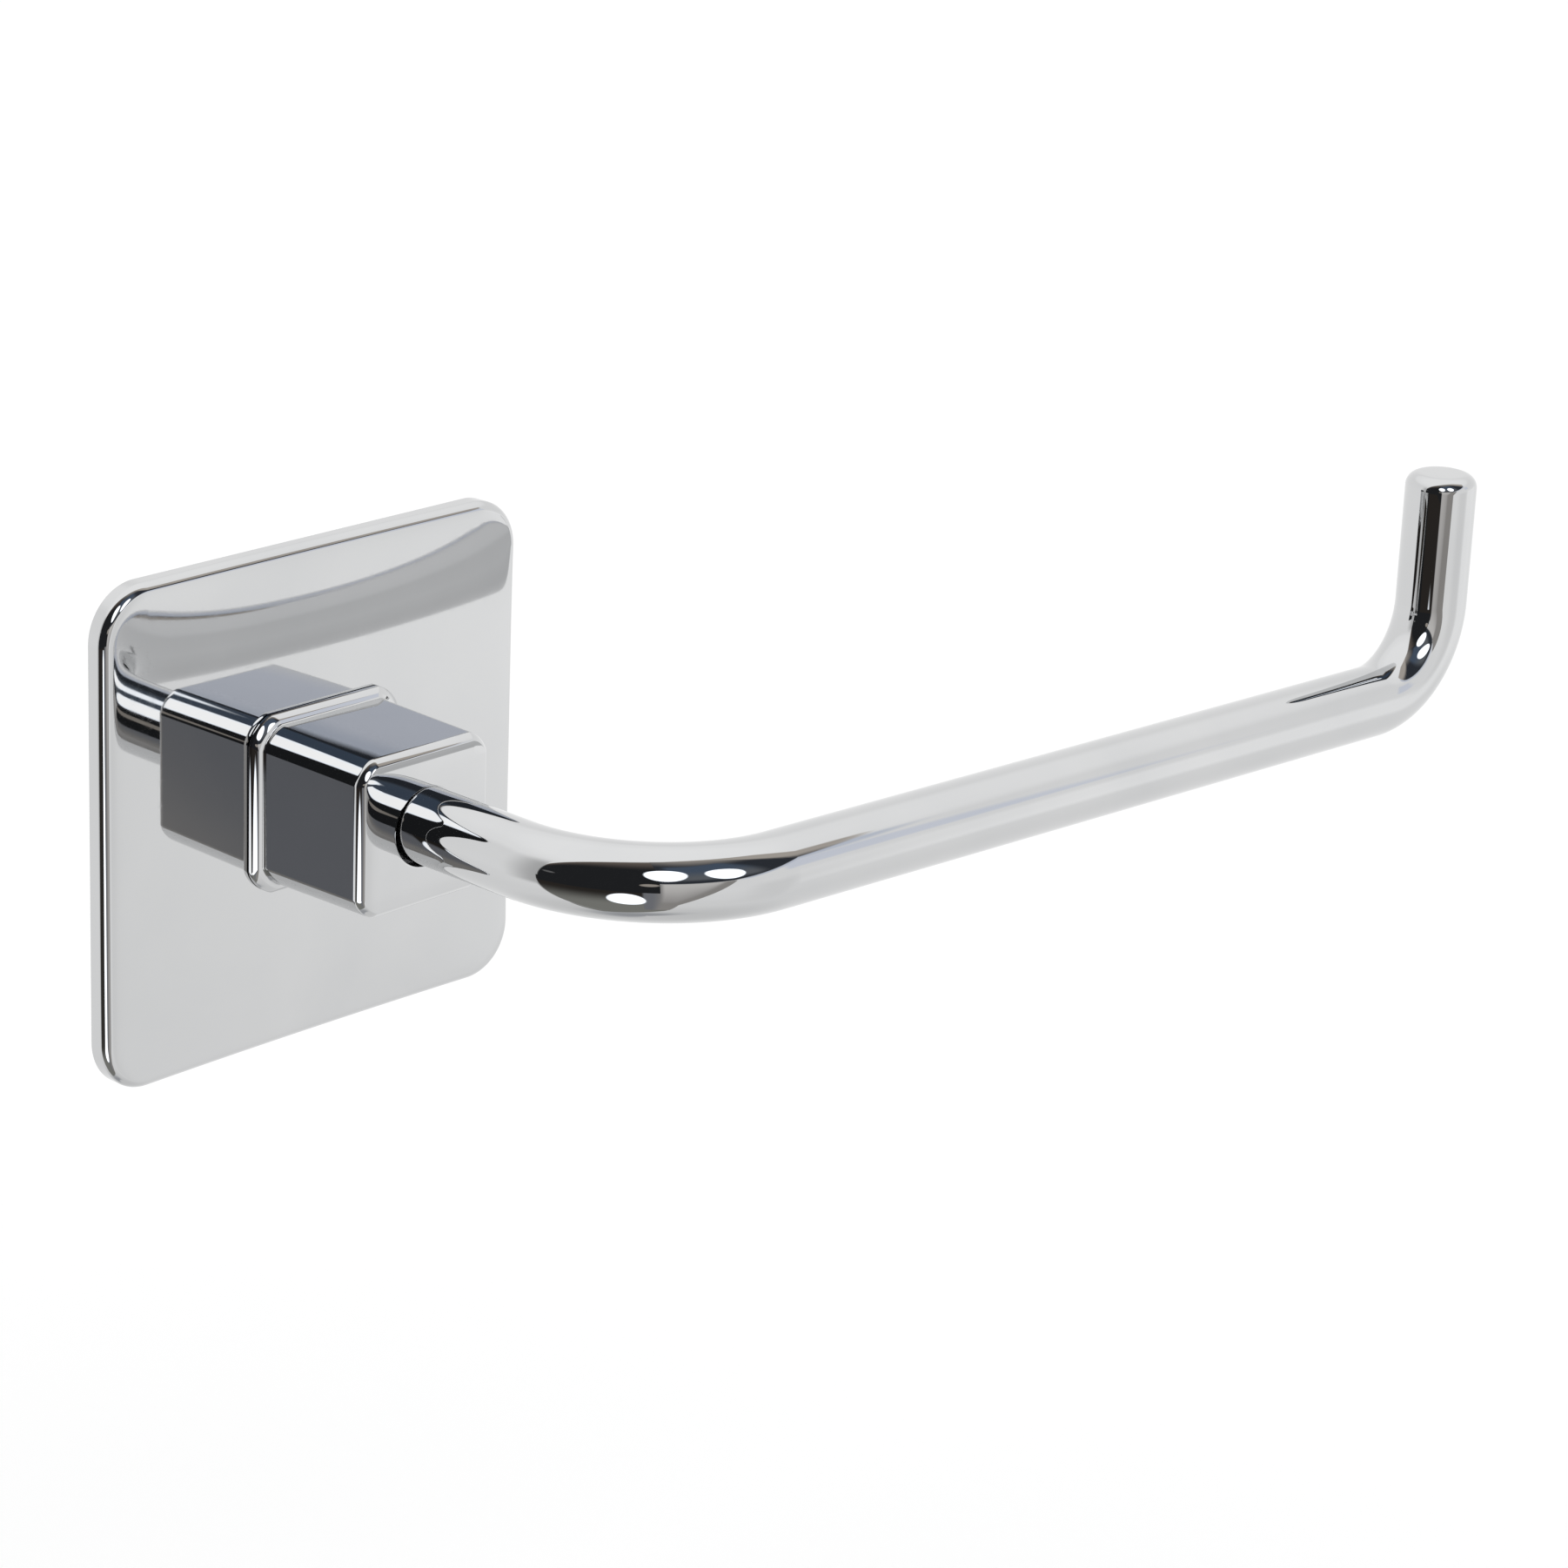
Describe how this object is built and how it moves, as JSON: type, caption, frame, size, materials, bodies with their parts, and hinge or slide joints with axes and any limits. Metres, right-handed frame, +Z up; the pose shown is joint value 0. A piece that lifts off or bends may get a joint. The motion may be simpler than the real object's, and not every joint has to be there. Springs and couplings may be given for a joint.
{
  "type": "toilet paper holder",
  "caption": "Wall-held toilet paper holder: thin square plate, square boss with a base flange, and a bent round rod that turns up at its open end.",
  "frame": {"origin": "middle of the back face, on the wall", "axes": "+X along the arm towards its free end, +Y into the wall, +Z up"},
  "size_m": [0.1931, 0.0714, 0.0666],
  "materials": {
    "plate_chrome": "bright mirror chrome on pressed steel",
    "boss_chrome": "bright mirror chrome on a casting",
    "rod_chrome": "bright mirror chrome on bent round bar",
    "foam_tape": "matt black closed-cell foam tape",
    "zinc_plate": "dull zinc-plated sheet steel",
    "cast_core": "grey zinc die casting, as cast",
    "fastener_steel": "plain steel fasteners",
    "black_steel": "black oxide hexagon-socket screw"
  },
  "bodies": {
    "root": {"face_plate": "plate_chrome", "backing_plate": "zinc_plate", "adhesive_pad": "foam_tape", "boss_cover": "boss_chrome", "boss_core": "cast_core", "core_screw_1": "fastener_steel", "core_screw_2": "fastener_steel", "core_screw_3": "fastener_steel", "core_screw_4": "fastener_steel", "grub_screw": "black_steel", "arm_rod": "rod_chrome", "arm_pin": "fastener_steel", "arm_screw": "fastener_steel", "flat_washer": "fastener_steel", "spring_washer": "fastener_steel"}
  },
  "joints": []
}
